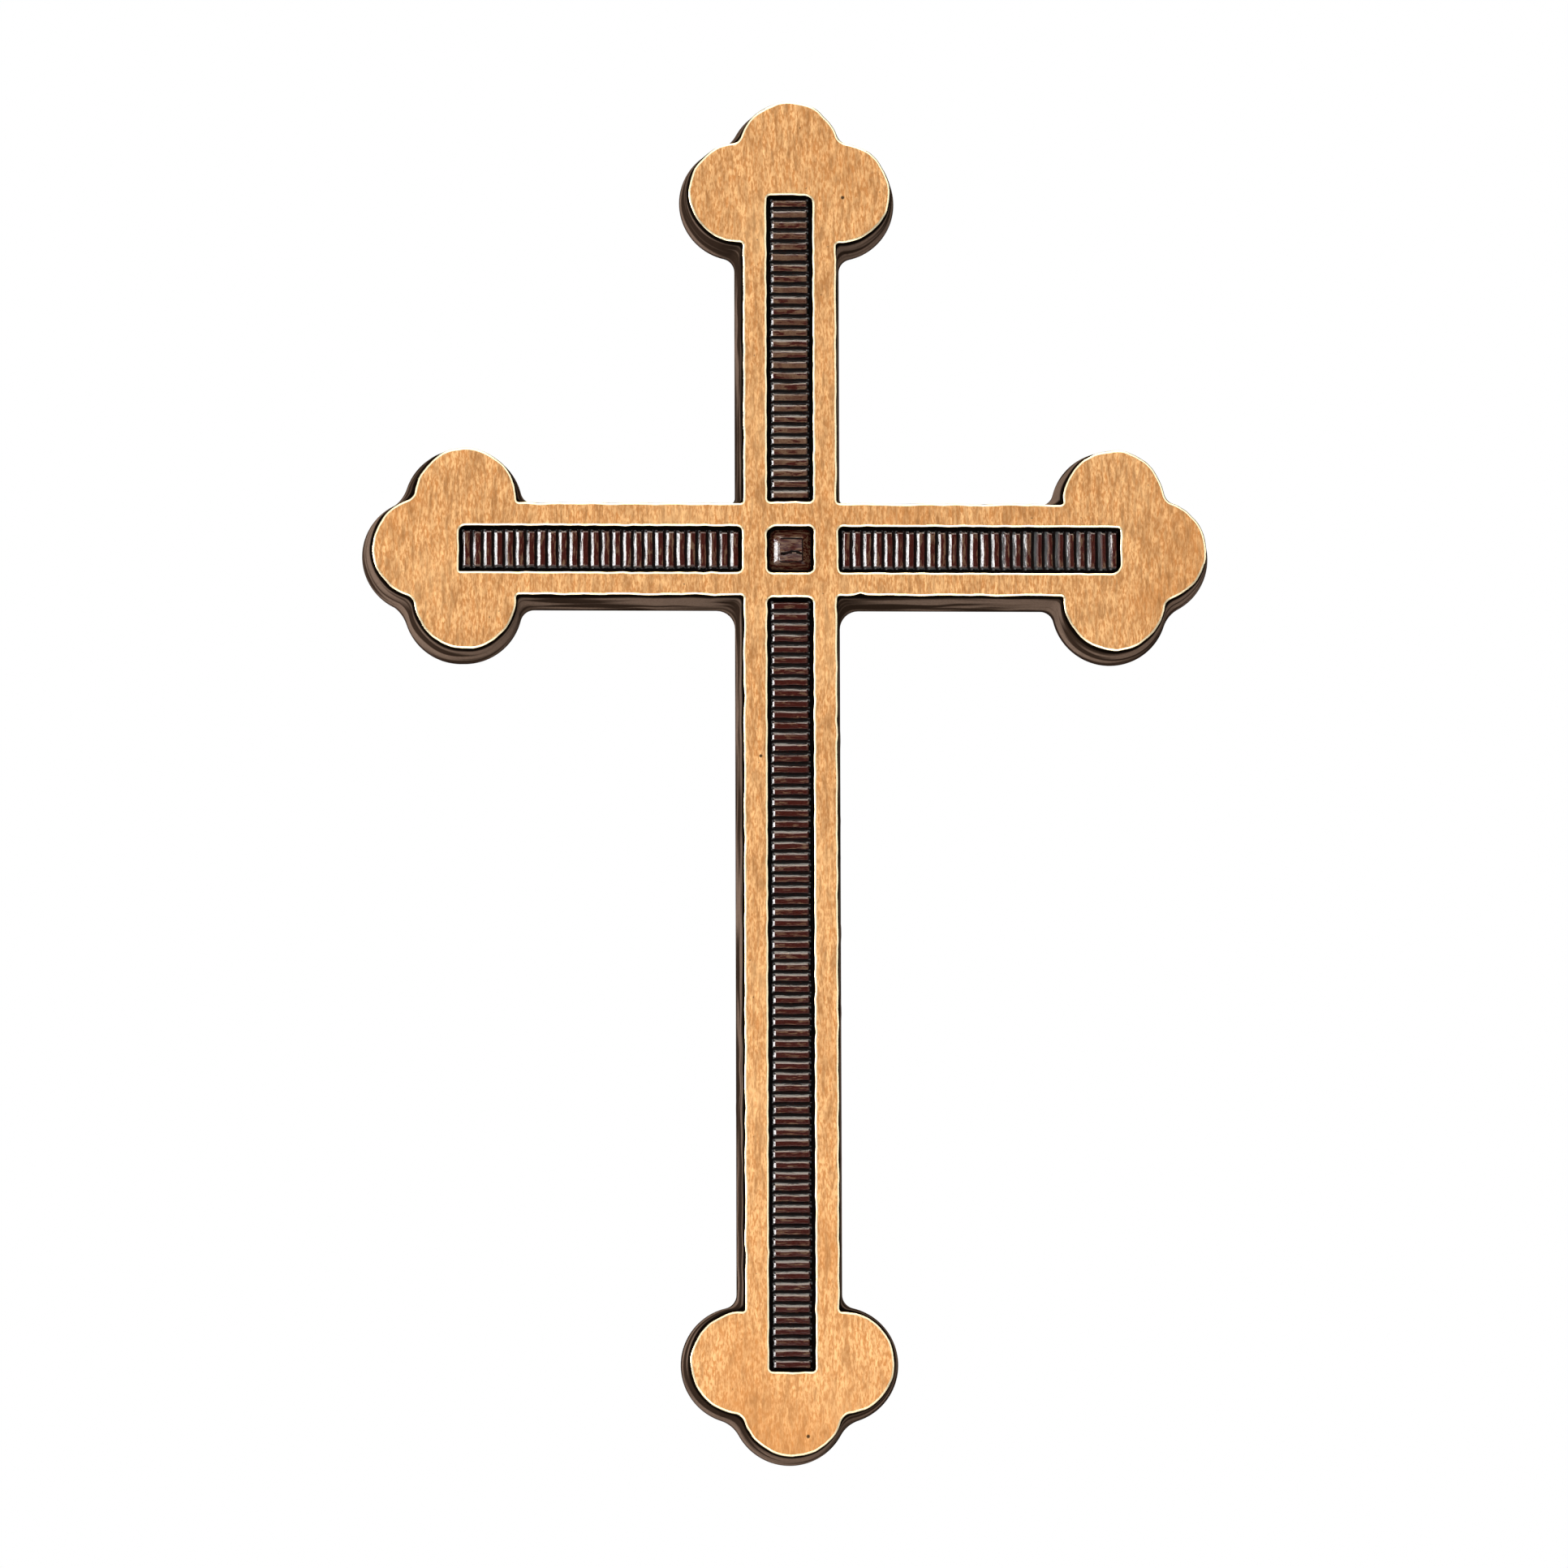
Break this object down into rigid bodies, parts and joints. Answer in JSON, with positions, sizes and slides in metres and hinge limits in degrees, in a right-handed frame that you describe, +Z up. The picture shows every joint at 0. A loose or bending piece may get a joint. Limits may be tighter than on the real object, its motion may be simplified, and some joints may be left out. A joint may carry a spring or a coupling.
{
  "type": "wall cross",
  "caption": "Latin cross in cast bronze with trefoil budded ends, fluted dark inlays set in a brushed face, a square boss at the crossing, a hollow back and threaded fixing studs.",
  "frame": {"origin": "crossing of shaft and crossbar, in the plane of the back rim that rests on the wall", "axes": "+Z up the shaft, +X to the viewer's right, +Y into the wall; the brushed face looks along -Y"},
  "size_m": [0.124, 0.04, 0.1999],
  "materials": {
    "brushed_bronze": "brushed face with a bright worn edge, dark brown patina on the sides and in the hollow back",
    "patina_bronze": "glossy oxblood brown patina",
    "stainless_steel": "turned"
  },
  "bodies": {
    "root": {"cross_body": "brushed_bronze", "centre_boss": "patina_bronze", "upper_inlay": "patina_bronze", "upper_stud": "stainless_steel", "upper_lock_nut": "stainless_steel", "right_inlay": "patina_bronze", "right_stud": "stainless_steel", "right_lock_nut": "stainless_steel", "lower_inlay": "patina_bronze", "lower_stud": "stainless_steel", "lower_lock_nut": "stainless_steel", "left_inlay": "patina_bronze", "left_stud": "stainless_steel", "left_lock_nut": "stainless_steel"}
  },
  "joints": []
}
